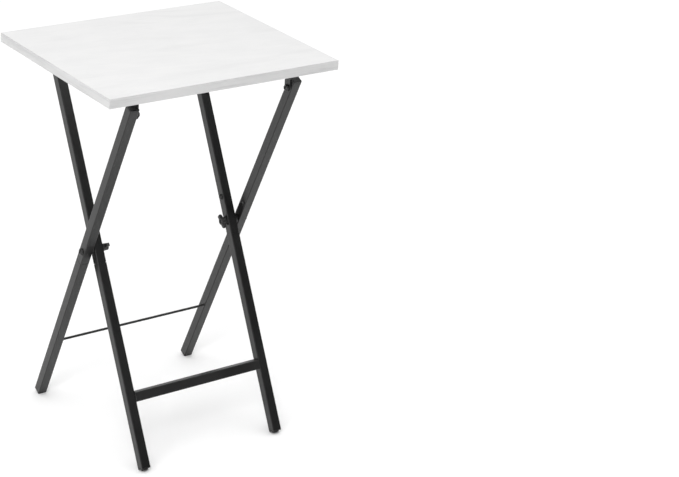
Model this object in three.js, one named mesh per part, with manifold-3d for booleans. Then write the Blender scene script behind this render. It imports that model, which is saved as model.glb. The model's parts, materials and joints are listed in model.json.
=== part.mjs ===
// Folding tray table: a laminate top on two square-tube frames that cross like an X.
//
// Millimetres, +Z up, +Y towards the back, origin on the floor under the middle of the top.
// The outer frame's legs lean forward as they rise and carry the top on two hinge brackets.
// The inner frame's legs lean back; its top rod sits in two clips under the back of the top.
// Each frame is built in leg coordinates: the origin at the crossing, z up along the tubes,
// y towards the back of the tube. The frame's group then tilts it about the crossing.

import * as THREE from 'three';
import { mergeVertices } from 'three/addons/utils/BufferGeometryUtils.js';
import Module from 'manifold-3d';

const wasm = await Module();
wasm.setup();

// ---------------------------------------------------------------- driving dimensions

const TABLE_HEIGHT = 657.4;
const TOP_WIDTH = 412;
const TOP_DEPTH = 356.5;
const TOP_THICKNESS = 15.5;
const EDGE_BAND = 1;
const EDGE_CHAMFER = 0.5;
const GLUE_LINE = 0.05;

const TUBE = 16;
const TUBE_WALL = 1;
const TUBE_CORNER = 1.5;
const BORE_CORNER = 0.6;
const LEG_TILT = THREE.MathUtils.degToRad(26.36);
const PIVOT_HEIGHT = 332;
const OUTER_LEG_X = 147.7;
const INNER_LEG_X = 127.6;
const GAP = 0.3;

// Stations along a leg, measured up the tube from the crossing.
const OUTER_LEG_TOP = 325;
const INNER_LEG_TOP = 330;
const LEG_BOTTOM = -364.6;
const JOINT_SEAM = -24;
const JOINT_SCREW = 41;
const HINGE = 310.2;
const TOP_ROD = 318;
const CROSSBAR = -248.5;
const CROSSBAR_ROLL = THREE.MathUtils.degToRad(8);
const STRETCHER = -223.3;
const STRETCHER_FORWARD = 5;

const INSERT_WALL = 1.2;
const INSERT_BELOW_PIVOT = 70;
const INSERT_ABOVE_PIVOT = 58;
const TOP_ROD_RADIUS = 6;
const STRETCHER_RADIUS = 2.1;

const PIVOT_BOLT_RADIUS = 3;
const PIVOT_HEAD_RADIUS = 6;
const PIVOT_HEAD_HEIGHT = 3.4;
const PIVOT_SPACER_RADIUS = 7;
const WASHER_RADIUS = 8;
const WASHER_THICKNESS = 1.2;

const WING_SPAN = 24.6;
const WING_THICKNESS = 5.2;
const WING_ROOT = 1;
const WING_SWEEP = 1.8;
const WING_CORNER = 3.4;
const WING_NUT_HEIGHT = 9.2;
const WING_HUB_RADIUS = 6.2;
const WING_HUB_TAPER = 0.5;
const WING_BOLT_RECESS = 1;
const WING_TURN = THREE.MathUtils.degToRad(49);

const JOINT_SCREW_RADIUS = 2;
const JOINT_SCREW_LENGTH = 8;
const JOINT_HEAD_RADIUS = 4.8;
const JOINT_HEAD_HEIGHT = 2.4;

const BRACKET_STEEL = 2;
const BRACKET_WIDTH = 15;
const BRACKET_FLANGE = 24;
const BRACKET_FLANGE_DEPTH = 32;
const BRACKET_CORNER = 5;
const BRACKET_SCREW_INSET = 14;
const BRACKET_SCREW_SPREAD = 10.5;
const HINGE_BOLT_RADIUS = 2.5;
const HINGE_HEAD_RADIUS = 5.8;
const HINGE_HEAD_HEIGHT = 4.6;
const RIVET_NUT_RADIUS = 3.5;
const RIVET_NUT_LENGTH = 9;

const SHANK_TIP = 0.6;
const DOME_FLAT = 0.35;

const CLIP_X = 72;
const CLIP_PLAY = 0.4;
const CLIP_FILLET = 3;
const CLIP_WIDTH = 20;
const CLIP_WALL = 3.6;
const CLIP_PLATE = 2.5;
const CLIP_PLATE_HALF = 22;
const CLIP_SCREW_SPREAD = 16;
const CLIP_BACK_WALL = 5;
const CLIP_FRONT_LIP = 3;

const WOOD_SCREW_RADIUS = 1.8;
const WOOD_SCREW_LENGTH = 9.5;
const WOOD_HEAD_RADIUS = 3.8;
const WOOD_HEAD_HEIGHT = 2.2;

const CAP_THICKNESS = 2;
const CAP_STEM = 7;
const PLUG_STEM = 14;
const FOOT_FLANGE = 1.2;
const GLIDE_RADIUS = 6;
const GLIDE_HEIGHT = 2.9;
const GLIDE_ROUND = 1.2;

const ROUND_STEPS = 20;
const SMALL_ROUND_STEPS = 14;
const CORNER_STEPS = 2;

// ------------------------------------------------------------------- derived places

const UNDERSIDE = TABLE_HEIGHT - TOP_THICKNESS;
const HALF_TUBE = TUBE / 2;
const TUBE_BORE = TUBE - 2 * TUBE_WALL;
const PLUG_SIDE = TUBE_BORE - 2 * GAP;
const PLUG_CORNER = 0.8;
const OUTER_INNER_FACE = OUTER_LEG_X - HALF_TUBE;
const OUTER_OUTER_FACE = OUTER_LEG_X + HALF_TUBE;
const INNER_INNER_FACE = INNER_LEG_X - HALF_TUBE;
const INNER_OUTER_FACE = INNER_LEG_X + HALF_TUBE;
const HINGE_Y = -HINGE * Math.sin(LEG_TILT);
const HINGE_Z = PIVOT_HEIGHT + HINGE * Math.cos(LEG_TILT);
const TOP_ROD_Y = TOP_ROD * Math.sin(LEG_TILT);
const TOP_ROD_Z = PIVOT_HEIGHT + TOP_ROD * Math.cos(LEG_TILT);
const WASHER_FACE = INNER_INNER_FACE - GAP - WASHER_THICKNESS;
const WING_NUT_FACE = WASHER_FACE - GAP;
const BRACKET_FACE = OUTER_INNER_FACE - GAP - BRACKET_STEEL;
const BRACKET_SCREW_X = BRACKET_FACE + BRACKET_STEEL - BRACKET_SCREW_INSET;
const SIDES = [['left', -1], ['right', 1]];
const ENDS = [['front', -1], ['back', 1]];

// ------------------------------------------------------------------------ materials

function material(color, roughness, metalness) {
  return new THREE.MeshStandardMaterial({ color, roughness, metalness });
}

const laminate = material(0xededec, 0.45, 0);
const edgeLaminate = material(0xdedddb, 0.5, 0);
const powderCoat = material(0x2b2b2d, 0.6, 0.2);
const blackPlastic = material(0x161617, 0.55, 0);
const blackSteel = material(0x222224, 0.4, 0.7);
const zincSteel = material(0xa9abad, 0.35, 0.9);

// ----------------------------------------------------------------- geometry helpers

/** Shared-vertex copy of a geometry, without the collapsed triangles at a lathe's poles. */
function weld(geometry) {
  const bare = geometry.clone();
  bare.deleteAttribute('normal');
  bare.deleteAttribute('uv');
  const merged = mergeVertices(bare, 1e-4);
  const index = merged.getIndex().array;
  const kept = [];
  for (let i = 0; i < index.length; i += 3) {
    const [a, b, c] = [index[i], index[i + 1], index[i + 2]];
    if (a !== b && b !== c && c !== a) {
      kept.push(a, b, c);
    }
  }
  merged.setIndex(kept);
  return merged;
}

function toSolid(geometry) {
  const merged = weld(geometry);
  return new wasm.Manifold(new wasm.Mesh({
    numProp: 3,
    vertProperties: new Float32Array(merged.getAttribute('position').array),
    triVerts: new Uint32Array(merged.getIndex().array),
  }));
}

function toGeometry(solid) {
  const mesh = solid.getMesh();
  const geometry = new THREE.BufferGeometry();
  geometry.setAttribute('position', new THREE.BufferAttribute(mesh.vertProperties, 3));
  geometry.setIndex(new THREE.BufferAttribute(mesh.triVerts, 1));
  return geometry;
}

function join(...geometries) {
  return toGeometry(geometries.map(toSolid).reduce((a, b) => a.add(b)));
}

function cut(geometry, ...tools) {
  return toGeometry(tools.map(toSolid).reduce((a, b) => a.subtract(b), toSolid(geometry)));
}

function box(width, depth, height, x, y, z) {
  return new THREE.BoxGeometry(width, depth, height).translate(x, y, z);
}

/** A square with rounded corners, centred on the origin. */
function roundedSquare(side, corner, Outline = THREE.Shape) {
  const reach = side / 2 - corner;
  const outline = new Outline();
  outline.absarc(reach, reach, corner, 0, Math.PI / 2);
  outline.absarc(-reach, reach, corner, Math.PI / 2, Math.PI);
  outline.absarc(-reach, -reach, corner, Math.PI, 1.5 * Math.PI);
  outline.absarc(reach, -reach, corner, 1.5 * Math.PI, 2 * Math.PI);
  outline.closePath();
  return outline;
}

/** Extrude an outline drawn in x and y along z, from one height to another. */
function extrudeZ(shape, from, to, curveSegments = CORNER_STEPS) {
  const options = { depth: to - from, bevelEnabled: false, curveSegments };
  return new THREE.ExtrudeGeometry(shape, options).translate(0, 0, from);
}

/** Extrude an outline drawn in y and z along x, from one place to another. */
function extrudeX(shape, from, to, curveSegments = ROUND_STEPS) {
  const options = { depth: to - from, bevelEnabled: false, curveSegments };
  const geometry = new THREE.ExtrudeGeometry(shape, options);
  return geometry.rotateX(Math.PI / 2).rotateZ(Math.PI / 2).translate(from, 0, 0);
}

/** Turn a profile of [radius, station] points about the z axis. */
function latheZ(profile, steps = ROUND_STEPS) {
  const points = profile.map(([radius, station]) => new THREE.Vector2(radius, station));
  return new THREE.LatheGeometry(points, steps).rotateX(Math.PI / 2);
}

/** Turn a profile of [radius, station] points about the x axis; stations grow along direction. */
function latheX(profile, direction = 1, steps = ROUND_STEPS) {
  return latheZ(profile, steps).rotateY(direction * Math.PI / 2);
}

function cylinderX(radius, from, to, y, z, steps = ROUND_STEPS) {
  const low = Math.min(from, to);
  const high = Math.max(from, to);
  return latheX([[0, low], [radius, low], [radius, high], [0, high]], 1, steps).translate(0, y, z);
}

function ringX(inner, outer, from, to) {
  const profile = [[inner, from], [outer, from], [outer, to], [inner, to], [inner, from]];
  return latheX(profile);
}

/** The tool that drills a round hole along z. */
function drillZ(radius, from, to) {
  return latheZ([[0, from], [radius, from], [radius, to], [0, to]], SMALL_ROUND_STEPS);
}

/** Profile of a domed screw: the shank's end, the shank, the flat under the head, the dome. */
function screwProfile(shank, length, head, height) {
  const tip = shank * SHANK_TIP;
  const profile = [[0, -length], [tip, -length], [shank, tip - length], [shank, 0], [head, 0]];
  const domeSteps = 3;
  for (let i = 0; i < domeSteps; i += 1) {
    const turn = (i / domeSteps) * Math.PI / 2;
    const reach = DOME_FLAT + (1 - DOME_FLAT) * Math.cos(turn);
    const rise = DOME_FLAT + (1 - DOME_FLAT) * Math.sin(turn);
    profile.push([head * reach, height * rise]);
  }
  profile.push([0, height]);
  return profile;
}

function add(group, name, geometry, partMaterial, x = 0, y = 0, z = 0) {
  const mesh = new THREE.Mesh(weld(geometry), partMaterial);
  mesh.name = name;
  mesh.position.set(x, y, z);
  group.add(mesh);
  return mesh;
}

// ------------------------------------------------------------------------- the legs

/** Square tube along z with round holes through its side walls. */
function squareTube(side, wall, corner, from, to, holes) {
  const shape = roundedSquare(side, corner);
  shape.holes.push(roundedSquare(side - 2 * wall, BORE_CORNER, THREE.Path));
  const drills = holes.map((hole) => cylinderX(hole.radius, hole.from, hole.to, 0, hole.at));
  const tube = extrudeZ(shape, from, to);
  return drills.length > 0 ? cut(tube, ...drills) : tube;
}

/** The plastic foot: a stem in the tube, a flange under its end and a glide cut flat on the floor. */
function footPlug(tilt) {
  const stemTop = LEG_BOTTOM + PLUG_STEM;
  const flangeTop = LEG_BOTTOM - GAP;
  const flangeBottom = flangeTop - FOOT_FLANGE;
  const glideBottom = flangeBottom - GLIDE_HEIGHT;
  const stem = extrudeZ(roundedSquare(PLUG_SIDE, PLUG_CORNER), flangeTop, stemTop);
  const flange = extrudeZ(roundedSquare(TUBE, TUBE_CORNER), flangeBottom, flangeTop);
  const glide = latheZ([
    [0, glideBottom],
    [GLIDE_RADIUS - GLIDE_ROUND, glideBottom],
    [GLIDE_RADIUS - 0.3 * GLIDE_ROUND, glideBottom + 0.3 * GLIDE_ROUND],
    [GLIDE_RADIUS, glideBottom + GLIDE_ROUND],
    [GLIDE_RADIUS, flangeTop],
    [0, flangeTop],
  ]);
  const floorDepth = 20;
  const floor = box(2 * TUBE, TOP_DEPTH * 2, floorDepth, 0, 0, -PIVOT_HEIGHT - floorDepth / 2);
  return cut(join(stem, flange, glide), floor.rotateX(-tilt));
}

function topCap(legTop) {
  const stem = extrudeZ(roundedSquare(PLUG_SIDE, PLUG_CORNER), legTop - CAP_STEM, legTop + GAP);
  const shape = roundedSquare(TUBE, TUBE_CORNER);
  const lid = extrudeZ(shape, legTop + GAP, legTop + GAP + CAP_THICKNESS);
  return join(stem, lid);
}

/** One leg: upper and lower tube, the insert that joins them, its screw, the top cap and the foot. */
function addLeg(group, frameName, sideName, side, legX, legTop, tilt, extraHoles) {
  const inward = -side;
  const through = HALF_TUBE + 1;
  const pivotHole = { at: 0, radius: PIVOT_BOLT_RADIUS + GAP, from: -through, to: through };
  const screwHole = { at: JOINT_SCREW, radius: JOINT_SCREW_RADIUS + GAP, from: 0, to: inward * through };
  const centre = side * legX;
  const label = (piece) => `${frameName}_${piece}_${sideName}`;

  const upperHoles = [pivotHole, screwHole, ...extraHoles];
  const upper = squareTube(TUBE, TUBE_WALL, TUBE_CORNER, JOINT_SEAM + GAP / 2, legTop, upperHoles);
  add(group, label('upper_tube'), upper, powderCoat, centre);

  const lower = squareTube(TUBE, TUBE_WALL, TUBE_CORNER, LEG_BOTTOM, JOINT_SEAM - GAP / 2, []);
  add(group, label('lower_tube'), lower, powderCoat, centre);

  const insert = squareTube(
    PLUG_SIDE, INSERT_WALL, PLUG_CORNER, -INSERT_BELOW_PIVOT, INSERT_ABOVE_PIVOT, [pivotHole, screwHole],
  );
  add(group, label('joint_insert'), insert, powderCoat, centre);

  const screw = latheX(
    screwProfile(JOINT_SCREW_RADIUS, JOINT_SCREW_LENGTH, JOINT_HEAD_RADIUS, JOINT_HEAD_HEIGHT), inward,
  );
  const headSeat = centre + inward * (HALF_TUBE + GAP);
  add(group, label('joint_screw'), screw, blackSteel, headSeat, 0, JOINT_SCREW);

  add(group, label('top_cap'), topCap(legTop), blackPlastic, centre);
  add(group, label('foot'), footPlug(tilt), blackPlastic, centre);
}

// ------------------------------------------------------------------ the outer frame

function buildOuterFrame() {
  const frame = new THREE.Group();
  frame.position.set(0, 0, PIVOT_HEIGHT);
  frame.rotation.x = LEG_TILT;

  for (const [sideName, side] of SIDES) {
    const hingeHole = { at: HINGE, radius: RIVET_NUT_RADIUS + GAP, from: 0, to: -side * TUBE };
    addLeg(frame, 'outer', sideName, side, OUTER_LEG_X, OUTER_LEG_TOP, LEG_TILT, [hingeHole]);
    addPivotBolt(frame, sideName, side);
    addHingeBolt(frame, sideName, side);
  }

  const reach = OUTER_INNER_FACE - GAP;
  const rod = cylinderX(STRETCHER_RADIUS, -reach, reach, 0, 0, SMALL_ROUND_STEPS);
  add(frame, 'stretcher_rod', rod, powderCoat, 0, -STRETCHER_FORWARD, STRETCHER);
  return frame;
}

/** The crossing's bolt, headed on the outer leg's outside, and the spacer between the two legs. */
function addPivotBolt(frame, sideName, side) {
  const seat = OUTER_OUTER_FACE + GAP;
  const length = seat - (WING_NUT_FACE - WING_NUT_HEIGHT + WING_BOLT_RECESS);
  const bolt = latheX(
    screwProfile(PIVOT_BOLT_RADIUS, length, PIVOT_HEAD_RADIUS, PIVOT_HEAD_HEIGHT), side,
  );
  add(frame, `pivot_bolt_${sideName}`, bolt, blackSteel, side * seat);

  const width = OUTER_INNER_FACE - INNER_OUTER_FACE - 2 * GAP;
  const spacer = ringX(PIVOT_BOLT_RADIUS + GAP, PIVOT_SPACER_RADIUS, -width / 2, width / 2);
  const middle = (OUTER_INNER_FACE + INNER_OUTER_FACE) / 2;
  add(frame, `pivot_spacer_${sideName}`, spacer, blackPlastic, side * middle);
}

/** The top's hinge bolt, domed on the inside, and the rivet nut in the leg's wall that it screws into. */
function addHingeBolt(frame, sideName, side) {
  const seat = BRACKET_FACE - GAP;
  const end = OUTER_INNER_FACE + RIVET_NUT_LENGTH + 1;
  const bolt = latheX(
    screwProfile(HINGE_BOLT_RADIUS, end - seat, HINGE_HEAD_RADIUS, HINGE_HEAD_HEIGHT), -side,
  );
  add(frame, `hinge_bolt_${sideName}`, bolt, blackSteel, side * seat, 0, HINGE);

  const nut = ringX(HINGE_BOLT_RADIUS + GAP, RIVET_NUT_RADIUS, 0, RIVET_NUT_LENGTH);
  const low = side > 0 ? OUTER_INNER_FACE : -OUTER_INNER_FACE - RIVET_NUT_LENGTH;
  add(frame, `hinge_rivet_nut_${sideName}`, nut, zincSteel, low, 0, HINGE);
}

// ------------------------------------------------------------------ the inner frame

function buildInnerFrame() {
  const frame = new THREE.Group();
  frame.position.set(0, 0, PIVOT_HEIGHT);
  frame.rotation.x = -LEG_TILT;

  for (const [sideName, side] of SIDES) {
    addLeg(frame, 'inner', sideName, side, INNER_LEG_X, INNER_LEG_TOP, -LEG_TILT, []);
    const washer = ringX(PIVOT_BOLT_RADIUS + GAP, WASHER_RADIUS, 0, WASHER_THICKNESS);
    const low = side > 0 ? WASHER_FACE : -WASHER_FACE - WASHER_THICKNESS;
    add(frame, `pivot_washer_${sideName}`, washer, blackSteel, low);
  }

  const reach = INNER_INNER_FACE - GAP;
  const barShape = roundedSquare(TUBE, TUBE_CORNER);
  barShape.holes.push(roundedSquare(TUBE_BORE, BORE_CORNER, THREE.Path));
  const bar = extrudeX(barShape, -reach, reach, CORNER_STEPS);
  add(frame, 'lower_crossbar', bar, powderCoat, 0, 0, CROSSBAR).rotation.x = CROSSBAR_ROLL;

  const rod = cylinderX(TOP_ROD_RADIUS, -reach, reach, 0, 0);
  add(frame, 'top_cross_rod', rod, powderCoat, 0, 0, TOP_ROD);
  return frame;
}

// -------------------------------------------------------------------- the wing nuts

/** A wing nut whose base faces -x: a bored hub and two square-shouldered wings as tall as it is. */
function wingNut() {
  const tip = WING_SPAN / 2;
  const low = WING_ROOT + WING_SWEEP;
  const shoulder = tip - WING_CORNER;
  const wings = new THREE.Shape();
  wings.moveTo(0, WING_ROOT);
  wings.lineTo(shoulder, low);
  wings.quadraticCurveTo(tip, low, tip, low + WING_CORNER);
  wings.quadraticCurveTo(tip, WING_NUT_HEIGHT, shoulder, WING_NUT_HEIGHT);
  wings.lineTo(-shoulder, WING_NUT_HEIGHT);
  wings.quadraticCurveTo(-tip, WING_NUT_HEIGHT, -tip, low + WING_CORNER);
  wings.quadraticCurveTo(-tip, low, -shoulder, low);
  wings.closePath();
  const half = WING_THICKNESS / 2;
  const plate = extrudeZ(wings, -half, half, 5).rotateX(Math.PI / 2).rotateY(Math.PI / 2);
  const hub = latheX([
    [0, 0],
    [WING_HUB_RADIUS, 0],
    [WING_HUB_RADIUS - WING_HUB_TAPER, WING_NUT_HEIGHT],
    [0, WING_NUT_HEIGHT],
  ]);
  const bore = cylinderX(PIVOT_BOLT_RADIUS + GAP, -1, WING_NUT_HEIGHT + 1, 0, 0);
  return cut(join(hub, plate), bore);
}

function addWingNuts(table) {
  for (const [sideName, side] of SIDES) {
    const face = side * WING_NUT_FACE;
    const nut = add(table, `wing_nut_${sideName}`, wingNut(), blackPlastic, face, 0, PIVOT_HEIGHT);
    nut.rotation.set(-side * WING_TURN, 0, side > 0 ? Math.PI : 0);
  }
}

// ---------------------------------------------------------------------- the tabletop

/** Places of the eight wood screws under the top: the brackets' four and the clips' four. */
function woodScrewPlaces() {
  const places = [];
  for (const [sideName, side] of SIDES) {
    for (const [endName, end] of ENDS) {
      places.push({
        name: `bracket_screw_${sideName}_${endName}`,
        x: side * BRACKET_SCREW_X,
        y: HINGE_Y + end * BRACKET_SCREW_SPREAD,
        seat: UNDERSIDE - GAP - BRACKET_STEEL - GAP,
      });
      places.push({
        name: `clip_screw_${sideName}_${endName}`,
        x: side * CLIP_X,
        y: TOP_ROD_Y + end * CLIP_SCREW_SPREAD,
        seat: UNDERSIDE - GAP - CLIP_PLATE - GAP,
      });
    }
  }
  return places;
}

/** A long strip with a square section whose outer corners are chamfered; it faces -y. */
function edgeBand(length) {
  const half = TOP_THICKNESS / 2;
  const strip = new THREE.Shape();
  strip.moveTo(0, -half);
  strip.lineTo(0, half);
  strip.lineTo(EDGE_CHAMFER - EDGE_BAND, half);
  strip.lineTo(-EDGE_BAND, half - EDGE_CHAMFER);
  strip.lineTo(-EDGE_BAND, EDGE_CHAMFER - half);
  strip.lineTo(EDGE_CHAMFER - EDGE_BAND, -half);
  strip.closePath();
  return extrudeX(strip, -length / 2, length / 2);
}

function addBoard(top) {
  const middle = UNDERSIDE + TOP_THICKNESS / 2;
  const coreWidth = TOP_WIDTH - 2 * (EDGE_BAND + GLUE_LINE);
  const coreDepth = TOP_DEPTH - 2 * (EDGE_BAND + GLUE_LINE);
  const holeRadius = WOOD_SCREW_RADIUS + GAP;
  const holes = woodScrewPlaces().map(({ x, y, seat }) => {
    const depth = seat + WOOD_SCREW_LENGTH + GAP;
    return drillZ(holeRadius, UNDERSIDE - 1, depth).translate(x, y, 0);
  });
  const board = cut(box(coreWidth, coreDepth, TOP_THICKNESS, 0, 0, middle), ...holes);
  add(top, 'tabletop_board', board, laminate);

  const bandY = coreDepth / 2 + GLUE_LINE;
  const bandX = coreWidth / 2 + GLUE_LINE;
  const bands = [
    { name: 'front', length: TOP_WIDTH, x: 0, y: -bandY, turn: 0 },
    { name: 'back', length: TOP_WIDTH, x: 0, y: bandY, turn: Math.PI },
    { name: 'left', length: coreDepth, x: -bandX, y: 0, turn: -Math.PI / 2 },
    { name: 'right', length: coreDepth, x: bandX, y: 0, turn: Math.PI / 2 },
  ];
  for (const { name, length, x, y, turn } of bands) {
    const band = add(top, `edge_band_${name}`, edgeBand(length), edgeLaminate, x, y, middle);
    band.rotation.z = turn;
  }
}

/** The hinge bracket: a tab with a round end about the hinge axis, bent over into a screwed flange. */
function hingeBracket(side) {
  const rise = UNDERSIDE - GAP - HINGE_Z;
  const half = BRACKET_WIDTH / 2;
  const tab = new THREE.Shape();
  tab.moveTo(half, rise);
  tab.lineTo(-half, rise);
  tab.absarc(0, 0, half, Math.PI, 2 * Math.PI);
  tab.closePath();
  const tabFrom = side > 0 ? BRACKET_FACE : -BRACKET_FACE - BRACKET_STEEL;
  const upright = extrudeX(tab, tabFrom, tabFrom + BRACKET_STEEL, 14);

  const outerEdge = BRACKET_FACE + BRACKET_STEEL;
  const innerEdge = outerEdge - BRACKET_FLANGE;
  const corner = BRACKET_CORNER;
  const reach = BRACKET_FLANGE_DEPTH / 2;
  const flange = new THREE.Shape();
  flange.moveTo(side * outerEdge, -reach);
  flange.lineTo(side * outerEdge, reach);
  flange.lineTo(side * (innerEdge + corner), reach);
  flange.quadraticCurveTo(side * innerEdge, reach, side * innerEdge, reach - corner);
  flange.lineTo(side * innerEdge, corner - reach);
  flange.quadraticCurveTo(side * innerEdge, -reach, side * (innerEdge + corner), -reach);
  flange.closePath();
  const plate = extrudeZ(flange, rise - BRACKET_STEEL, rise, 4);

  const screwHoles = ENDS.map(([, end]) => {
    const drill = drillZ(WOOD_SCREW_RADIUS + GAP, rise - BRACKET_STEEL - 1, rise + 1);
    return drill.translate(side * BRACKET_SCREW_X, end * BRACKET_SCREW_SPREAD, 0);
  });
  const pin = cylinderX(HINGE_BOLT_RADIUS + GAP, tabFrom - 1, tabFrom + BRACKET_STEEL + 1, 0, 0);
  return cut(join(upright, plate), pin, ...screwHoles);
}

/** The clip that hooks over the inner frame's top rod: open downward, with its shorter lip in front. */
function frameClip() {
  const bore = TOP_ROD_RADIUS + CLIP_PLAY;
  const wall = bore + CLIP_WALL;
  const plateTop = UNDERSIDE - GAP - TOP_ROD_Z;
  const plateBottom = plateTop - CLIP_PLATE;
  const outline = new THREE.Shape();
  outline.moveTo(wall, -CLIP_BACK_WALL);
  outline.lineTo(wall, plateBottom - CLIP_FILLET);
  outline.quadraticCurveTo(wall, plateBottom, wall + CLIP_FILLET, plateBottom);
  outline.lineTo(CLIP_PLATE_HALF, plateBottom);
  outline.lineTo(CLIP_PLATE_HALF, plateTop);
  outline.lineTo(-CLIP_PLATE_HALF, plateTop);
  outline.lineTo(-CLIP_PLATE_HALF, plateBottom);
  outline.lineTo(-wall - CLIP_FILLET, plateBottom);
  outline.quadraticCurveTo(-wall, plateBottom, -wall, plateBottom - CLIP_FILLET);
  outline.lineTo(-wall, CLIP_FRONT_LIP);
  const lipAngle = Math.PI - Math.asin(CLIP_FRONT_LIP / bore);
  outline.absarc(0, 0, bore, lipAngle, 0, true);
  outline.lineTo(bore, -CLIP_BACK_WALL);
  outline.closePath();
  const body = extrudeX(outline, -CLIP_WIDTH / 2, CLIP_WIDTH / 2, 10);
  const drills = ENDS.map(([, end]) => {
    const drill = drillZ(WOOD_SCREW_RADIUS + GAP, plateBottom - 1, plateTop + 1);
    return drill.translate(0, end * CLIP_SCREW_SPREAD, 0);
  });
  return cut(body, ...drills);
}

function buildTabletop() {
  const top = new THREE.Group();
  addBoard(top);
  for (const [sideName, side] of SIDES) {
    add(top, `hinge_bracket_${sideName}`, hingeBracket(side), blackSteel, 0, HINGE_Y, HINGE_Z);
    add(top, `frame_clip_${sideName}`, frameClip(), blackPlastic, side * CLIP_X, TOP_ROD_Y, TOP_ROD_Z);
  }
  const profile = screwProfile(WOOD_SCREW_RADIUS, WOOD_SCREW_LENGTH, WOOD_HEAD_RADIUS, WOOD_HEAD_HEIGHT);
  const screw = latheZ(profile, SMALL_ROUND_STEPS).rotateX(Math.PI);
  for (const { name, x, y, seat } of woodScrewPlaces()) {
    add(top, name, screw, blackSteel, x, y, seat);
  }
  return top;
}

// ------------------------------------------------------------------------- the table

const table = new THREE.Group();
table.add(buildOuterFrame());
table.add(buildInnerFrame());
table.add(buildTabletop());
addWingNuts(table);

export default table;
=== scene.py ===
import json
import math
import random

import bmesh
import bpy
from mathutils import Matrix, Vector


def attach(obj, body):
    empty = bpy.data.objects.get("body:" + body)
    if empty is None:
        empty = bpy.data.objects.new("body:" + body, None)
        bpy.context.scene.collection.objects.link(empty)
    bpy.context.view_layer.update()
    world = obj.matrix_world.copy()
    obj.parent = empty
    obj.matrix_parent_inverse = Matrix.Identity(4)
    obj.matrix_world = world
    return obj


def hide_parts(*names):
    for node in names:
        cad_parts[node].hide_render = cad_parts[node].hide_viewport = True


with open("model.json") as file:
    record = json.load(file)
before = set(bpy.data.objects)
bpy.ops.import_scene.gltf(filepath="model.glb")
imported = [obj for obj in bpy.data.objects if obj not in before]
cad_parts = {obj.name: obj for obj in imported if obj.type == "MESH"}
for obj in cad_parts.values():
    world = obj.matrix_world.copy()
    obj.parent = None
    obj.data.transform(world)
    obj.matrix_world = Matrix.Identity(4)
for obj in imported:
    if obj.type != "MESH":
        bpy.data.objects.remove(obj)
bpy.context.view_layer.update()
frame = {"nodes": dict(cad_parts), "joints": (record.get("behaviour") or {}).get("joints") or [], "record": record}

MM = 0.001

# ------------------------------------------------------------------ places from the frame

JOINTS = {joint["name"]: joint for joint in frame["joints"]}
PIVOT = Vector(JOINTS["leg_fold"]["pos_m"])
HINGE = Vector(JOINTS["top_lift"]["pos_m"])
LEG_TILT = math.atan2(PIVOT.y - HINGE.y, HINGE.z - PIVOT.z)
SIDES = (("left", -1), ("right", 1))
ENDS = ("front", "back")

# Each frame's own coordinates: the origin at the crossing, z up along the legs.
LOCAL = {
    "outer_frame": Matrix.Translation(PIVOT) @ Matrix.Rotation(LEG_TILT, 4, "X"),
    "inner_frame": Matrix.Translation(PIVOT) @ Matrix.Rotation(-LEG_TILT, 4, "X"),
    "tabletop": Matrix.Identity(4),
    "wing_nut_left": Matrix.Identity(4),
    "wing_nut_right": Matrix.Identity(4),
}
BODY_OF = {node: body for body, nodes in frame["record"]["behaviour"]["bodies"].items() for node in nodes}
SLOT_OF = {part["node"]: part["material_slot"] for part in frame["record"]["subparts"]}


def local_box(node):
    """Lowest and highest corner of a CAD node in its own frame's coordinates."""
    inverse = LOCAL[BODY_OF[node]].inverted()
    points = [inverse @ vertex.co for vertex in frame["nodes"][node].data.vertices]
    low = Vector(min(point[axis] for point in points) for axis in range(3))
    high = Vector(max(point[axis] for point in points) for axis in range(3))
    return low, high


# ----------------------------------------------------------------------- material nodes

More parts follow.
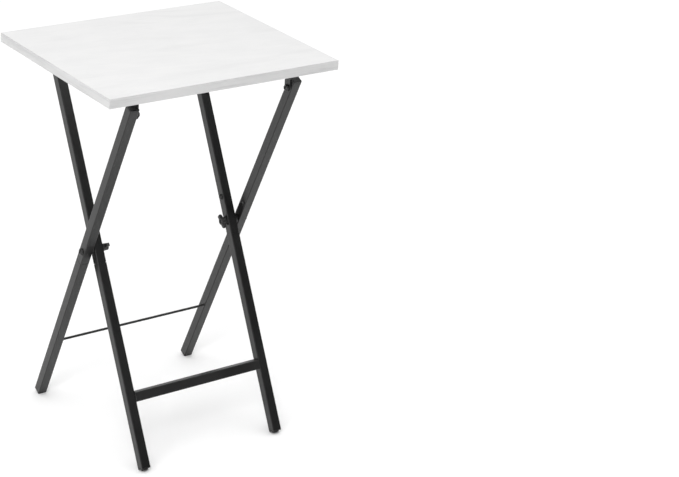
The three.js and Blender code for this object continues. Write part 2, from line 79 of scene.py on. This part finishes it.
class Nodes:
    """A material's node tree, with one short call per node."""

    def __init__(self, name):
        self.material = bpy.data.materials.new(name)
        self.material.use_nodes = True
        self.tree = self.material.node_tree
        self.tree.nodes.clear()
        self.shader = self.add("ShaderNodeBsdfPrincipled")
        output = self.add("ShaderNodeOutputMaterial")
        self.link(self.shader.outputs["BSDF"], output.inputs["Surface"])
        self.place = self.add("ShaderNodeTexCoord").outputs["Object"]

    def add(self, kind, **settings):
        node = self.tree.nodes.new(kind)
        for key, value in settings.items():
            setattr(node, key, value)
        return node

    def link(self, source, target):
        self.tree.links.new(source, target)

    def feed(self, socket, value):
        if isinstance(value, bpy.types.NodeSocket):
            self.link(value, socket)
        else:
            socket.default_value = value

    def math(self, operation, first, second=0.0):
        node = self.add("ShaderNodeMath", operation=operation)
        self.feed(node.inputs[0], first)
        self.feed(node.inputs[1], second)
        return node.outputs[0]

    def stretch(self, scale, turn=0.0, vector=None):
        node = self.add("ShaderNodeMapping")
        self.link(vector or self.place, node.inputs["Vector"])
        node.inputs["Rotation"].default_value = (0, 0, turn)
        node.inputs["Scale"].default_value = scale
        return node.outputs["Vector"]

    def noise(self, scale, detail=3.0, roughness=0.5, vector=None):
        node = self.add("ShaderNodeTexNoise")
        self.link(vector or self.place, node.inputs["Vector"])
        node.inputs["Scale"].default_value = scale
        node.inputs["Detail"].default_value = detail
        node.inputs["Roughness"].default_value = roughness
        return node.outputs["Fac"]

    def remap(self, value, from_low, from_high, to_low, to_high):
        node = self.add("ShaderNodeMapRange", interpolation_type="SMOOTHSTEP")
        self.link(value, node.inputs["Value"])
        node.inputs["From Min"].default_value = from_low
        node.inputs["From Max"].default_value = from_high
        node.inputs["To Min"].default_value = to_low
        node.inputs["To Max"].default_value = to_high
        return node.outputs["Result"]

    def mix(self, factor, first, second):
        node = self.add("ShaderNodeMix", data_type="RGBA")
        self.feed(node.inputs["Factor"], factor)
        self.feed(node.inputs[6], first)
        self.feed(node.inputs[7], second)
        return node.outputs[2]

    def bump(self, height, distance, strength=1.0, normal=None):
        node = self.add("ShaderNodeBump")
        self.link(height, node.inputs["Height"])
        node.inputs["Distance"].default_value = distance
        node.inputs["Strength"].default_value = strength
        if normal is not None:
            self.link(normal, node.inputs["Normal"])
        return node.outputs["Normal"]

    def finish(self, colour, roughness, normal, **numbers):
        self.feed(self.shader.inputs["Base Color"], colour)
        self.feed(self.shader.inputs["Roughness"], roughness)
        self.link(normal, self.shader.inputs["Normal"])
        for key, value in numbers.items():
            self.shader.inputs[key.replace("_", " ")].default_value = value
        return self.material


def grey(value, warmth=0.0):
    return (value * (1 + warmth), value, value * (1 - warmth), 1)


def laminate(name, base, grain_turn, arch_depth, streak_depth):
    """White melamine with a printed grain: broad cathedral arches, long streaks and fine pores."""
    n = Nodes(name)
    along = n.stretch((1, 1, 1), turn=grain_turn)
    wander = n.noise(2.2, detail=2.0, vector=n.stretch((1.1, 3.2, 3.2), vector=along))
    split = n.add("ShaderNodeSeparateXYZ")
    n.link(along, split.inputs["Vector"])

    # Nested arches: lines of equal (across squared - along), bent by the slow noise.
    across = n.math("ADD", split.outputs["Y"], n.math("MULTIPLY", n.math("SUBTRACT", wander, 0.5), 0.16))
    square = n.math("MULTIPLY", n.math("MULTIPLY", across, across), 420.0)
    nest = n.math("ADD", square, n.math("MULTIPLY", split.outputs["X"], 16.0))
    rings = n.math("SINE", n.math("ADD", nest, n.math("MULTIPLY", wander, 14.0)))
    broken = n.noise(9.0, detail=3.0, vector=n.stretch((0.9, 4.0, 4.0), vector=along))
    arches = n.math("MULTIPLY", n.remap(rings, 0.25, 1.0, 0.0, 1.0), n.remap(broken, 0.42, 0.66, 0.0, 1.0))

    streaks = n.noise(5.0, detail=6.0, roughness=0.62, vector=n.stretch((1.6, 46.0, 46.0), vector=along))
    fibres = n.noise(26.0, detail=4.0, roughness=0.6, vector=n.stretch((1.2, 60.0, 60.0), vector=along))
    specks = n.noise(60.0, detail=2.0, vector=n.stretch((0.5, 16.0, 16.0), vector=along))
    pores = n.remap(specks, 0.60, 0.72, 0.0, 1.0)
    clouds = n.noise(16.0, detail=5.0, roughness=0.6, vector=n.stretch((0.8, 1.9, 1.9), vector=along))

    colour = n.mix(n.remap(clouds, 0.3, 0.7, 0.0, 1.0), grey(base * 0.975), grey(base * 1.01, 0.002))
    streak_share = n.math("MULTIPLY", n.remap(streaks, 0.45, 0.75, 0.0, 1.0), streak_depth)
    colour = n.mix(streak_share, colour, grey(base * 0.62))
    colour = n.mix(n.math("MULTIPLY", arches, arch_depth), colour, grey(base * 0.55))
    colour = n.mix(n.math("MULTIPLY", pores, 0.05), colour, grey(base * 0.6))
    roughness = n.remap(fibres, 0.3, 0.7, 0.40, 0.50)
    relief = n.math("ADD", n.math("MULTIPLY", fibres, 0.6), n.math("MULTIPLY", pores, -0.8))
    return n.finish(colour, roughness, n.bump(relief, 0.00006, 0.6), IOR=1.45)


def powder_coat(name):
    """Matte black powder coat: orange peel, fine grit and slow changes in sheen."""
    n = Nodes(name)
    peel = n.noise(900.0, detail=2.0, roughness=0.45)
    grit = n.noise(3800.0, detail=2.0)
    cloud = n.noise(14.0, detail=3.0)
    colour = n.mix(n.remap(cloud, 0.35, 0.7, 0.0, 1.0), grey(0.0035), grey(0.0055, -0.01))
    colour = n.mix(n.remap(grit, 0.58, 0.75, 0.0, 0.4), colour, grey(0.014))
    roughness = n.math("ADD", n.remap(cloud, 0.3, 0.7, 0.28, 0.34), n.math("MULTIPLY", grit, 0.06))
    normal = n.bump(grit, 0.000012, 0.5, n.bump(peel, 0.00005, 0.55))
    return n.finish(colour, roughness, normal, IOR=1.48)


def moulded_plastic(name, base, roughness_low):
    """Moulded black plastic with a fine spark-eroded grain."""
    n = Nodes(name)
    grain = n.add("ShaderNodeTexVoronoi")
    n.link(n.place, grain.inputs["Vector"])
    grain.inputs["Scale"].default_value = 2600.0
    cloud = n.noise(60.0, detail=3.0)
    colour = n.mix(n.remap(cloud, 0.3, 0.7, 0.0, 1.0), grey(base), grey(base * 1.4))
    roughness = n.remap(cloud, 0.3, 0.7, roughness_low, roughness_low + 0.1)
    normal = n.bump(grain.outputs["Distance"], 0.00003, 0.5, n.bump(n.noise(700.0), 0.00003, 0.4))
    return n.finish(colour, roughness, normal, IOR=1.49)


def coated_steel(name):
    """Black-zinc hardware: dark metal with small scuffs that show the steel's sheen."""
    n = Nodes(name)
    scuffs = n.remap(n.noise(220.0, detail=6.0, roughness=0.7), 0.62, 0.78, 0.0, 1.0)
    cloud = n.noise(90.0, detail=3.0)
    colour = n.mix(n.math("MULTIPLY", scuffs, 0.5), grey(0.045), grey(0.25))
    roughness = n.math("SUBTRACT", n.remap(cloud, 0.3, 0.7, 0.24, 0.32), n.math("MULTIPLY", scuffs, 0.06))
    normal = n.bump(cloud, 0.00003, 0.4, n.bump(n.noise(1500.0), 0.00002, 0.4))
    return n.finish(colour, roughness, normal, Metallic=0.9, IOR=1.6)


def zinc_plate(name):
    """Zinc-plated steel with a fine drawn texture along the tube."""
    n = Nodes(name)
    drawn = n.noise(40.0, detail=5.0, vector=n.stretch((60.0, 60.0, 2.0)))
    spangle = n.noise(160.0, detail=2.0)
    colour = n.mix(n.remap(spangle, 0.4, 0.6, 0.0, 1.0), grey(0.44, -0.01), grey(0.56, 0.01))
    return n.finish(colour, n.remap(drawn, 0.3, 0.7, 0.28, 0.42), n.bump(drawn, 0.00003, 0.5), Metallic=1.0)


TOP_WHITE = 0.79
# The edge whites are painted shade: the edges are darker than the top, and the long front and back edges darker
# than the short side edges, for how the light falls on them.
LONG_EDGE_SHADED_WHITE = 0.57
SHORT_EDGE_SHADED_WHITE = 0.615
GRAIN_TURN = 0.12
QUARTER_TURN = math.pi / 2
MATERIALS = {
    "laminate": laminate("laminate_top", TOP_WHITE, GRAIN_TURN, 0.07, 0.05),
    # Painted shade: the edge materials are the top's laminate with the darker edge whites.
    "edge_long_painted_shade": laminate("edge_laminate_long_painted_shade", LONG_EDGE_SHADED_WHITE, 0.0, 0.0, 0.45),
    "edge_short_painted_shade": laminate("edge_laminate_short_painted_shade", SHORT_EDGE_SHADED_WHITE, QUARTER_TURN, 0.0, 0.45),
    "powder_coat": powder_coat("powder_coat_black"),
    "black_plastic": moulded_plastic("moulded_plastic_black", 0.007, 0.36),
    "black_steel": coated_steel("coated_steel_black"),
    "zinc_steel": zinc_plate("zinc_plated_steel"),
}


# ------------------------------------------------------------------------ mesh building

def rounded_square(side, corner, z, steps=6):
    """One loop of points round a square with rounded corners, in the plane at height z."""
    reach = side / 2 - corner
    loop = []
    for quarter in range(4):
        middle = QUARTER_TURN * quarter + QUARTER_TURN / 2
        cx = reach * math.copysign(1, math.cos(middle))
        cy = reach * math.copysign(1, math.sin(middle))
        for step in range(steps + 1):
            angle = QUARTER_TURN * (quarter + step / steps)
            loop.append(Vector((cx + corner * math.cos(angle), cy + corner * math.sin(angle), z)))
    return loop


def ring(radius, z, steps):
    turn = 2 * math.pi / steps
    return [Vector((radius * math.cos(turn * i), radius * math.sin(turn * i), z)) for i in range(steps)]


def skin(loops, closed=False):
    """A mesh over equal loops of points; the ends are capped unless the last loop meets the first."""
    bm = bmesh.new()
    rows = [[bm.verts.new(point) for point in loop] for loop in loops]
    count = len(rows[0])
    pairs = list(zip(rows, rows[1:] + rows[:1])) if closed else list(zip(rows, rows[1:]))
    for lower, upper in pairs:
        for i in range(count):
            j = (i + 1) % count
            bm.faces.new((lower[i], lower[j], upper[j], upper[i]))
    if not closed:
        bm.faces.new(list(reversed(rows[0])))
        bm.faces.new(rows[-1])
    bmesh.ops.recalc_face_normals(bm, faces=bm.faces)
    return bm


def lathe(profile, steps=48, closed=False):
    """Turn [radius, z] points about the z axis."""
    return skin([ring(radius, z, steps) for radius, z in profile], closed)


def to_object(name, bm, matrix=Matrix.Identity(4), smooth_angle=32.0):
    """A scene object from a bmesh, with its place written into the vertices."""
    bm.transform(matrix)
    mesh = bpy.data.meshes.new(name)
    bm.to_mesh(mesh)
    bm.free()
    mesh.shade_smooth()
    mesh.set_sharp_from_angle(angle=math.radians(smooth_angle))
    piece = bpy.data.objects.new(name, mesh)
    bpy.context.scene.collection.objects.link(piece)
    weighted = piece.modifiers.new("weighted_normals", "WEIGHTED_NORMAL")
    weighted.keep_sharp = True
    weighted.weight = 100
    return piece


def settle(piece, material, body, slot, *nodes):
    """Give a piece its material and its body, and hide the CAD nodes that it stands for; slot is not used."""
    piece.data.materials.clear()
    piece.data.materials.append(MATERIALS[material])
    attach(piece, body)
    if nodes:
        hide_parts(*nodes)
    return piece


def stand_for(node, bm, matrix, material=None):
    """A finely made piece in the place of one CAD node."""
    body = BODY_OF[node]
    piece = to_object(f"{node}_fine", bm, LOCAL[body] @ matrix)
    return settle(piece, material or SLOT_OF[node], body, SLOT_OF[node], node)


def refined(node, width):
    """The CAD shape with its flat faces merged and its sharp edges rounded over."""
    bm = bmesh.new()
    bm.from_mesh(frame["nodes"][node].data)
    bmesh.ops.remove_doubles(bm, verts=bm.verts, dist=1e-6)
    bmesh.ops.dissolve_limit(bm, angle_limit=math.radians(0.8), verts=bm.verts, edges=bm.edges)
    sharp = [e for e in bm.edges if len(e.link_faces) == 2 and e.calc_face_angle(0) > math.radians(33)]
    bmesh.ops.bevel(
        bm, geom=sharp, offset=width, offset_type="OFFSET", segments=3, profile=0.5,
        affect="EDGES", clamp_overlap=True,
    )
    piece = to_object(f"{node}_fine", bm)
    return settle(piece, SLOT_OF[node], BODY_OF[node], SLOT_OF[node], node)


# ---------------------------------------------------------------------------- the tubes

TUBE_CORNER = 1.5 * MM
TUBE_WALL = 1.0 * MM
TUBE_END_ROUND = 0.2 * MM
SEAM_OPEN = 0.12 * MM
CROSSBAR_ROLL = math.radians(8)


def tube_mesh(side, low, high):
    """A square tube with round corners, open ends and softened end edges."""
    inner = side - 2 * TUBE_WALL
    inner_corner = 0.7 * MM
    soft = TUBE_END_ROUND
    loops = [
        rounded_square(side - 2 * soft, TUBE_CORNER - soft, low),
        rounded_square(side - 0.6 * soft, TUBE_CORNER - 0.3 * soft, low + 0.3 * soft),
        rounded_square(side, TUBE_CORNER, low + soft),
        rounded_square(side, TUBE_CORNER, high - soft),
        rounded_square(side - 0.6 * soft, TUBE_CORNER - 0.3 * soft, high - 0.3 * soft),
        rounded_square(side - 2 * soft, TUBE_CORNER - soft, high),
        rounded_square(inner, inner_corner, high),
        rounded_square(inner, inner_corner, low),
    ]
    return skin(loops, closed=True)


def add_leg_tubes():
    for frame_name in ("outer", "inner"):
        for side_name, _ in SIDES:
            for part in ("upper", "lower"):
                node = f"{frame_name}_{part}_tube_{side_name}"
                low, high = local_box(node)
                if part == "upper":
                    low.z += SEAM_OPEN
                else:
                    high.z -= SEAM_OPEN
                bm = tube_mesh(high.x - low.x, low.z, high.z)
                stand_for(node, bm, Matrix.Translation(((low.x + high.x) / 2, (low.y + high.y) / 2, 0)))


def leg_side():
    """The side of the square tube that the legs and the crossbar share."""
    low, high = local_box("inner_upper_tube_left")
    return high.y - low.y


def across_matrix(low, high):
    """Turns a piece built along z, from 0 up, to lie along x from a box's low end, on its middle line."""
    middle = Vector((low.x, (low.y + high.y) / 2, (low.z + high.z) / 2))
    return Matrix.Translation(middle) @ Matrix.Rotation(QUARTER_TURN, 4, "Y")


def add_crossbar():
    low, high = local_box("lower_crossbar")
    roll = Matrix.Rotation(CROSSBAR_ROLL, 4, "X")
    middle = (low + high) / 2
    place = Matrix.Translation(middle) @ roll @ Matrix.Translation(-middle) @ across_matrix(low, high)
    stand_for("lower_crossbar", tube_mesh(leg_side(), 0, high.x - low.x), place)


def add_rod(node):
    low, high = local_box(node)
    radius = (high.y - low.y) / 2
    length = high.x - low.x
    soft = 0.3 * MM
    profile = [(radius - soft, 0), (radius, soft), (radius, length - soft), (radius - soft, length)]
    stand_for(node, lathe(profile, 40), across_matrix(low, high))


WELD_UNEVENNESS = 0.16
WELD_CREST = 0.42
WELD_ROOT = 0.5
WELD_SINK = 0.25 * MM
WELD_MARGIN = 0.4 * MM


def add_weld(name, body, loop, axis_x, side, size):
    """A weld bead: a small uneven fillet round the end of a bar where it meets a leg."""
    draw = random.Random(name)
    middle = sum(loop, Vector()) / len(loop)
    wall_reach = leg_side() / 2 - WELD_MARGIN
    wall = axis_x + side * WELD_SINK
    bm = bmesh.new()
    rows = []
    for point in loop:
        out = (point - middle).normalized()
        throat = size * (1 + WELD_UNEVENNESS * (draw.random() - 0.5))
        foot = point + out * throat
        foot.y = max(-wall_reach, min(wall_reach, foot.y))
        crest = point + out * throat * WELD_CREST
        root = point - out * size * WELD_ROOT
        toe = axis_x - side * throat
        rows.append([
            bm.verts.new((wall, foot.y, foot.z)),
            bm.verts.new((axis_x - side * throat * WELD_CREST, crest.y, crest.z)),
            bm.verts.new((toe, point.y, point.z)),
            bm.verts.new((toe, root.y, root.z)),
            bm.verts.new((wall, root.y, root.z)),
        ])
    for near, far in zip(rows, rows[1:] + rows[:1]):
        for k in range(len(near)):
            m = (k + 1) % len(near)
            bm.faces.new((near[k], near[m], far[m], far[k]))
    bmesh.ops.recalc_face_normals(bm, faces=bm.faces)
    piece = to_object(name, bm, LOCAL[body], smooth_angle=50)
    settle(piece, "powder_coat", body, "powder_coat")


def add_welds():
    """Beads where the crossbar and both rods meet the legs."""
    for node, body, size in (
        ("lower_crossbar", "inner_frame", 0.9 * MM),
        ("top_cross_rod", "inner_frame", 0.9 * MM),
        ("stretcher_rod", "outer_frame", 0.7 * MM),
    ):
        low, high = local_box(node)
        middle = Vector((0, (low.y + high.y) / 2, (low.z + high.z) / 2))
        width = high.y - low.y
        turn = Matrix.Identity(3)
        if node == "lower_crossbar":
            flat = rounded_square(leg_side(), TUBE_CORNER, 0, steps=8)
            turn = Matrix.Rotation(CROSSBAR_ROLL, 3, "X")
        else:
            flat = ring(width / 2, 0, 28)
        loop = [turn @ Vector((0, point.x, point.y)) + middle for point in flat]
        for side_name, side in SIDES:
            end = high.x if side > 0 else low.x
            add_weld(f"{node}_weld_{side_name}", body, loop, end, side, size)


# ------------------------------------------------------------------- screws, bolts, rings

def dome(radius, height, base, steps=7, flat=0.3):
    """Profile points of a domed head, from its rim at base up to the flat on its crown."""
    points = [(radius - 0.12 * MM, base), (radius, base + 0.15 * MM)]
    rise = height - 0.35 * MM
    for i in range(1, steps + 1):
        turn = QUARTER_TURN * i / steps
        reach = flat + (1 - flat) * math.cos(turn)
        points.append((radius * reach, base + 0.35 * MM + rise * math.sin(turn)))
    return points


def carve(name, bm, cutter):
    """Cut one bmesh from another with an exact boolean, and return the result."""
    body = to_object(name, bm)
    tool = to_object(name + "_cutter", cutter)
    modifier = body.modifiers.new("recess", "BOOLEAN")
    modifier.operation = "DIFFERENCE"
    modifier.solver = "EXACT"
    modifier.object = tool
    evaluated = body.evaluated_get(bpy.context.evaluated_depsgraph_get())
    result = bmesh.new()
    result.from_mesh(evaluated.to_mesh())
    evaluated.to_mesh_clear()
    for scratch in (body, tool):
        mesh = scratch.data
        bpy.data.objects.remove(scratch)
        bpy.data.meshes.remove(mesh)
    return result


def cross_loop(reach, half, z):
    """The twelve corners of a plus sign, in the plane at height z."""
    arm = [(reach, -half), (reach, half), (half, half)]
    loop = []
    for quarter in range(4):
        turn = Matrix.Rotation(QUARTER_TURN * quarter, 2)
        loop += [(turn @ Vector(point)).to_3d() + Vector((0, 0, z)) for point in arm]
    return loop


def cross_cutter(reach, width, top, depth):
    """The tapered four-armed tool that leaves a cross recess in a screw's head."""
    low = cross_loop(reach * 0.6, width * 0.3, top - depth)
    high = cross_loop(reach * 1.15, width * 0.55, top + 0.5 * MM)
    return skin([low, high])


def hex_cutter(radius, top, depth):
    return skin([ring(radius, top - depth, 6), ring(radius, top + 1 * MM, 6)])


def screw_mesh(name, shank, length, head, height, cutter):
    """A screw along z: its shank below zero, its domed head above, with a drive recess."""
    tip = [(shank * 0.15, -length), (shank * 0.6, -length), (shank, -length + shank * 0.5)]
    profile = tip + [(shank, -0.01 * MM)] + dome(head, height, 0.0)
    return carve(name, lathe(profile, 40), cutter)


def along(node, outward_high):
    """A piece's box, and the move and turn that lay it along x with z pointing to the high or the low end."""
    low, high = local_box(node)
    turn = QUARTER_TURN if outward_high else -QUARTER_TURN
    middle = Vector((0, (low.y + high.y) / 2, (low.z + high.z) / 2))
    return low, high, Matrix.Translation(middle), Matrix.Rotation(turn, 4, "Y")


def add_side_screw(node, head_towards, shank, height, recess):
    """A screw or bolt that lies along x, with its head at the end that head_towards names."""
    low, high, place, turn = along(node, head_towards > 0)
    head = (high.y - low.y) / 2
    length = high.x - low.x - height
    seat = high.x - height if head_towards > 0 else low.x + height
    bm = screw_mesh(node, shank, length, head, height, recess(height))
    stand_for(node, bm, Matrix.Translation((seat, 0, 0)) @ place @ turn)


def phillips(reach):
    return lambda top: cross_cutter(reach, reach * 0.42, top, 1.2 * MM)


def hex_socket(radius):
    return lambda top: hex_cutter(radius, top, 2.0 * MM)


def add_ring(node, bore):
    """A washer or spacer with softened rims, along x."""
    low, high, place, turn = along(node, True)
    radius = (high.y - low.y) / 2
    thick = high.x - low.x
    soft = min(0.25 * MM, thick / 4)
    profile = [
        (bore, soft), (bore + soft, 0), (radius - soft, 0), (radius, soft),
        (radius, thick - soft), (radius - soft, thick), (bore + soft, thick), (bore, thick - soft),
    ]
    stand_for(node, lathe(profile, 48, closed=True), Matrix.Translation((low.x, 0, 0)) @ place @ turn)


JOINT_SCREW_RADIUS = 2.0 * MM
JOINT_HEAD_HEIGHT = 2.4 * MM
PIVOT_BOLT_RADIUS = 3.0 * MM
PIVOT_HEAD_HEIGHT = 3.4 * MM
HINGE_BOLT_RADIUS = 2.5 * MM
HINGE_HEAD_HEIGHT = 4.6 * MM
WOOD_SCREW_RADIUS = 1.8 * MM
WOOD_HEAD_HEIGHT = 2.2 * MM
BORE_PLAY = 0.3 * MM


def add_hardware():
    for side_name, side in SIDES:
        for frame_name in ("outer", "inner"):
            node = f"{frame_name}_joint_screw_{side_name}"
            add_side_screw(node, -side, JOINT_SCREW_RADIUS, JOINT_HEAD_HEIGHT, phillips(2.2 * MM))
        pivot_socket = hex_socket(2.3 * MM)
        add_side_screw(f"pivot_bolt_{side_name}", side, PIVOT_BOLT_RADIUS, PIVOT_HEAD_HEIGHT, pivot_socket)
        hinge_socket = hex_socket(1.9 * MM)
        add_side_screw(f"hinge_bolt_{side_name}", -side, HINGE_BOLT_RADIUS, HINGE_HEAD_HEIGHT, hinge_socket)
        add_ring(f"pivot_spacer_{side_name}", PIVOT_BOLT_RADIUS + BORE_PLAY)
        add_ring(f"pivot_washer_{side_name}", PIVOT_BOLT_RADIUS + BORE_PLAY)
        add_ring(f"hinge_rivet_nut_{side_name}", HINGE_BOLT_RADIUS + BORE_PLAY)
        for place in ("bracket", "clip"):
            for end_name in ENDS:
                add_wood_screw(f"{place}_screw_{side_name}_{end_name}")


def add_wood_screw(node):
    """A pan-head screw up into the board, its head underneath."""
    low, high = local_box(node)
    middle = (low + high) / 2
    height = WOOD_HEAD_HEIGHT
    head = (high.y - low.y) / 2
    cutter = cross_cutter(1.7 * MM, 0.7 * MM, height, 1.0 * MM)
    bm = screw_mesh(node, WOOD_SCREW_RADIUS, high.z - low.z - height, head, height, cutter)
    place = Matrix.Translation((middle.x, middle.y, low.z + height)) @ Matrix.Rotation(math.pi, 4, "X")
    stand_for(node, bm, place)


# ----------------------------------------------------------------------------- the top

def rounded_box(low, high, soft):
    bm = bmesh.new()
    bmesh.ops.create_cube(bm, size=1.0)
    size = high - low
    middle = (low + high) / 2
    for vertex in bm.verts:
        vertex.co = Vector(middle[axis] + vertex.co[axis] * size[axis] for axis in range(3))
    bmesh.ops.bevel(bm, geom=list(bm.edges), offset=soft, segments=3, profile=0.5, affect="EDGES")
    return bm


def add_board():
    low, high = local_box("tabletop_board")
    stand_for("tabletop_board", rounded_box(low, high, 0.08 * MM), Matrix.Identity(4))


def add_edge_bands():
    """The bands' outer long edges are scraped round; the glued side stays sharp."""
    board_high = local_box("tabletop_board")[1]
    for name, axis in (("front", 1), ("back", 1), ("left", 0), ("right", 0)):
        node = f"edge_band_{name}"
        low, high = local_box(node)
        bm = bmesh.new()
        bmesh.ops.create_cube(bm, size=1.0)
        for vertex in bm.verts:
            vertex.co = Vector(high[k] if vertex.co[k] > 0 else low[k] for k in range(3))
        outside = high[axis] if high[axis] > board_high[axis] else low[axis]
        long_axis = 1 - axis
        outer = [
            edge for edge in bm.edges
            if all(abs(v.co[axis] - outside) < 1e-6 for v in edge.verts)
            and abs(edge.verts[0].co[long_axis] - edge.verts[1].co[long_axis]) > 1e-4
        ]
        bmesh.ops.bevel(bm, geom=outer, offset=0.75 * MM, segments=5, profile=0.5, affect="EDGES")
        # The edge materials carry painted shade in their darker whites.
        material = "edge_long_painted_shade" if axis == 1 else "edge_short_painted_shade"
        stand_for(node, bm, Matrix.Identity(4), material)


def add_mouldings():
    """Brackets, clips, caps, feet and wing nuts: the CAD shapes with rounded edges."""
    for side_name, _ in SIDES:
        refined(f"hinge_bracket_{side_name}", 0.35 * MM)
        refined(f"frame_clip_{side_name}", 0.5 * MM)
        refined(f"wing_nut_{side_name}", 0.8 * MM)
        for frame_name in ("outer", "inner"):
            refined(f"{frame_name}_top_cap_{side_name}", 0.4 * MM)
            refined(f"{frame_name}_foot_{side_name}", 0.35 * MM)


# ------------------------------------------------------------------ camera, light, floor

CAMERA_AZIMUTH = math.radians(-36.47)
CAMERA_ELEVATION = math.radians(23.41)
CAMERA_ROLL = math.radians(3.32)
CAMERA_PLACE = Vector((-1.56573, -2.60512, 1.65167))
SENSOR = 36.0
LENS = 105.58


def add_camera():
    back = Vector((
        math.sin(CAMERA_AZIMUTH) * math.cos(CAMERA_ELEVATION),
        -math.cos(CAMERA_AZIMUTH) * math.cos(CAMERA_ELEVATION),
        math.sin(CAMERA_ELEVATION),
    ))
    right = (-back).cross(Vector((0, 0, 1))).normalized()
    up = right.cross(-back)
    rolled_right = right * math.cos(CAMERA_ROLL) + up * math.sin(CAMERA_ROLL)
    rolled_up = up * math.cos(CAMERA_ROLL) - right * math.sin(CAMERA_ROLL)
    turn = Matrix((rolled_right, rolled_up, back)).transposed()
    data = bpy.data.cameras.new("camera")
    data.sensor_width = SENSOR
    data.lens = LENS
    data.clip_start = 0.05
    data.clip_end = 60
    camera = bpy.data.objects.new("camera", data)
    camera.matrix_world = Matrix.Translation(CAMERA_PLACE) @ turn.to_4x4()
    bpy.context.scene.collection.objects.link(camera)
    bpy.context.scene.camera = camera


def add_floor():
    bm = bmesh.new()
    bmesh.ops.create_grid(bm, x_segments=1, y_segments=1, size=25)
    floor = to_object("floor", bm)
    n = Nodes("floor_white")
    colour = n.mix(n.noise(3.0), grey(0.955), grey(0.965))
    n.finish(colour, 1.0, n.bump(n.noise(300.0), 0.00002, 0.1), Specular_IOR_Level=0.0)
    floor.data.materials.append(n.material)


def add_area_light(name, place, aim, size, power):
    data = bpy.data.lights.new(name, "AREA")
    data.shape = "DISK"
    data.size = size
    data.energy = power
    light = bpy.data.objects.new(name, data)
    light.location = place
    light.rotation_mode = "QUATERNION"
    light.rotation_quaternion = (Vector(aim) - Vector(place)).to_track_quat("-Z", "Y")
    bpy.context.scene.collection.objects.link(light)


def add_lights():
    """A bright ceiling that falls to a dim horizon, and a key and a low softbox at the front left."""
    world = bpy.data.worlds.new("studio")
    bpy.context.scene.world = world
    world.use_nodes = True
    tree = world.node_tree
    tree.nodes.clear()
    place = tree.nodes.new("ShaderNodeTexCoord")
    split = tree.nodes.new("ShaderNodeSeparateXYZ")
    ramp = tree.nodes.new("ShaderNodeMapRange")
    ramp.interpolation_type = "SMOOTHSTEP"
    sky = tree.nodes.new("ShaderNodeBackground")
    output = tree.nodes.new("ShaderNodeOutputWorld")
    tree.links.new(place.outputs["Generated"], split.inputs["Vector"])
    tree.links.new(split.outputs["Z"], ramp.inputs["Value"])
    ramp.inputs["From Min"].default_value = 0.34
    ramp.inputs["From Max"].default_value = 0.80
    ramp.inputs["To Min"].default_value = 0.10
    ramp.inputs["To Max"].default_value = 1.88
    tree.links.new(ramp.outputs["Result"], sky.inputs["Strength"])
    backdrop = tree.nodes.new("ShaderNodeBackground")
    rays = tree.nodes.new("ShaderNodeLightPath")
    choose = tree.nodes.new("ShaderNodeMixShader")
    tree.links.new(rays.outputs["Is Camera Ray"], choose.inputs[0])
    tree.links.new(sky.outputs["Background"], choose.inputs[1])
    tree.links.new(backdrop.outputs["Background"], choose.inputs[2])
    tree.links.new(choose.outputs[0], output.inputs["Surface"])
    add_area_light("key", (-1.9, -2.3, 3.0), (0, 0, 0.3), 1.6, 38.0)
    add_area_light("low_softbox", (-2.6, -1.6, 0.95), (0, 0, 0.3), 1.3, 22.0)


def main():
    scene = bpy.context.scene
    scene.view_settings.view_transform = "Standard"
    scene.view_settings.look = "None"
    add_camera()
    add_floor()
    add_lights()
    add_board()
    add_edge_bands()
    add_leg_tubes()
    add_crossbar()
    add_rod("stretcher_rod")
    add_rod("top_cross_rod")
    add_welds()
    add_hardware()
    add_mouldings()
    for node, cad in frame["nodes"].items():
        cad.data.materials.clear()
        cad.data.materials.append(MATERIALS.get(SLOT_OF[node], MATERIALS["edge_long_painted_shade"]))


main()
